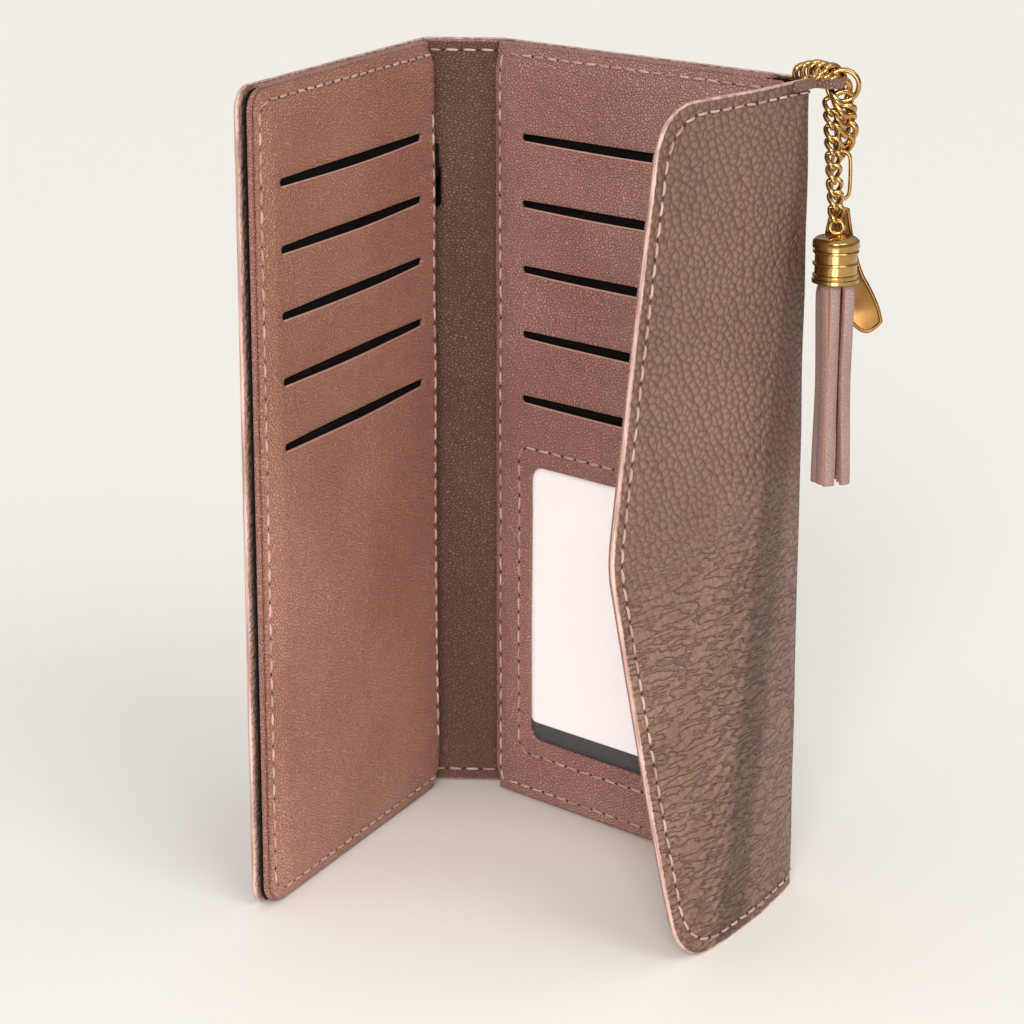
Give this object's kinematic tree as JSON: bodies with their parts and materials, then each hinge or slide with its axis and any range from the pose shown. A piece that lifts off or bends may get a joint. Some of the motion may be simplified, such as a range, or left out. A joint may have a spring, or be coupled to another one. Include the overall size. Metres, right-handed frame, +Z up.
{
  "type": "long wallet",
  "caption": "Tall leather wallet with a front cover, spine, card slots, clear window, edge zip pocket, pointed wrap-over flap and a tassel charm, standing half open.",
  "frame": {"origin": "middle of the back panel's bottom edge, on the surface that the wallet stands on", "axes": "+Z up along the folds, +X along the back panel from the spine towards the flap, -Y out of the back panel's inner face"},
  "size_m": [0.1232, 0.1147, 0.1922],
  "materials": {
    "pebbled_leather": "pebbled, satin",
    "smooth_leather": "fine grain, satin",
    "lining_fabric": "matt black weave",
    "board": "matt",
    "clear_film": "clear, glossy",
    "paper": "matt white",
    "black_metal": "black, satin",
    "steel": "plain",
    "gold_metal": "polished gold plate",
    "bronze_metal": "satin bronze plate"
  },
  "bodies": {
    "back": {"back_leather": "pebbled_leather", "back_stiffener": "board", "back_lining": "lining_fabric", "bill_pocket_wall": "lining_fabric", "back_slot_lining_1": "lining_fabric", "back_slot_lining_2": "lining_fabric", "back_slot_lining_3": "lining_fabric", "back_slot_lining_4": "lining_fabric", "back_slot_lining_5": "lining_fabric", "back_card_panel": "smooth_leather", "window_film": "clear_film", "insert_card": "paper"},
    "spine": {"spine_leather": "pebbled_leather", "spine_lining": "smooth_leather"},
    "cover": {"cover_leather": "pebbled_leather", "cover_stiffener": "board", "cover_steel_plate": "steel", "cover_lining": "lining_fabric", "coin_pocket_wall": "smooth_leather", "cover_slot_lining_1": "lining_fabric", "cover_slot_lining_2": "lining_fabric", "cover_slot_lining_3": "lining_fabric", "cover_slot_lining_4": "lining_fabric", "cover_slot_lining_5": "lining_fabric", "cover_card_panel": "smooth_leather", "zip_teeth": "black_metal", "zip_tape_rear": "lining_fabric", "zip_tape_front": "lining_fabric"},
    "slider": {"zip_slider": "black_metal"},
    "pull": {"zip_pull": "black_metal"},
    "strip": {"strip_leather": "pebbled_leather", "strip_lining": "smooth_leather", "charm_tab": "smooth_leather"},
    "flap": {"flap_leather": "pebbled_leather", "flap_lining": "smooth_leather", "flap_magnet": "steel"},
    "chain": {"charm_small_ring": "gold_metal", "charm_large_ring": "gold_metal", "tassel_chain_link_1": "gold_metal", "tassel_chain_link_2": "gold_metal", "tassel_chain_link_3": "gold_metal", "tassel_chain_link_4": "gold_metal", "tassel_chain_link_5": "gold_metal", "tassel_chain_link_6": "gold_metal", "leaf_chain_link_1": "gold_metal", "leaf_chain_link_2": "gold_metal", "leaf_oval_ring": "gold_metal"},
    "tassel": {"tassel_eye": "gold_metal", "tassel_cap": "gold_metal", "tassel_strip_1": "smooth_leather", "tassel_strip_2": "smooth_leather", "tassel_strip_3": "smooth_leather", "tassel_strip_4": "smooth_leather", "tassel_strip_5": "smooth_leather", "tassel_strip_6": "smooth_leather"},
    "leaf": {"leaf_jump_ring": "gold_metal", "leaf_charm": "bronze_metal"}
  },
  "joints": [
    {"name": "spine_fold", "type": "hinge", "parent": "back", "child": "spine", "pos_m": [-0.0485, 0, 0.095], "axis": [0, 0, -1], "range_deg": [-48.5, 41.5]},
    {"name": "cover_fold", "type": "hinge", "parent": "spine", "child": "cover", "pos_m": [-0.06236, -0.01226, 0.095], "axis": [0, 0, -1], "range_deg": [-20.5, 69.5]},
    {"name": "strip_fold", "type": "hinge", "parent": "back", "child": "strip", "pos_m": [0.0485, 0, 0.095], "axis": [0, 0, 1], "range_deg": [-10, 80]},
    {"name": "flap_fold", "type": "hinge", "parent": "strip", "child": "flap", "pos_m": [0.05232, -0.02167, 0.095], "axis": [0, 0, 1], "range_deg": [-85, 5]},
    {"name": "zip_slide", "type": "slide", "parent": "cover", "child": "slider", "axis": [0, 0, -1], "range_m": [0, 0.138]},
    {"name": "pull_swing", "type": "hinge", "parent": "slider", "child": "pull", "pos_m": [-0.05784, -0.01342, 0.1582], "axis": [0.3584, -0.9336, 0], "range_deg": [-4, 80]},
    {"name": "chain_swing", "type": "hinge", "parent": "strip", "child": "chain", "pos_m": [0.05392, 0.00464, 0.1912], "axis": [0.9848, 0.1736, 0], "range_deg": [-10, 10]},
    {"name": "tassel_swing", "type": "hinge", "parent": "chain", "child": "tassel", "pos_m": [0.05556, 0.00175, 0.1583], "axis": [0.9848, 0.1736, 0], "range_deg": [-20, 0]},
    {"name": "leaf_swing", "type": "hinge", "parent": "chain", "child": "leaf", "pos_m": [0.05207, 0.00704, 0.163], "axis": [0.9848, 0.1736, 0], "range_deg": [0, 20]}
  ]
}
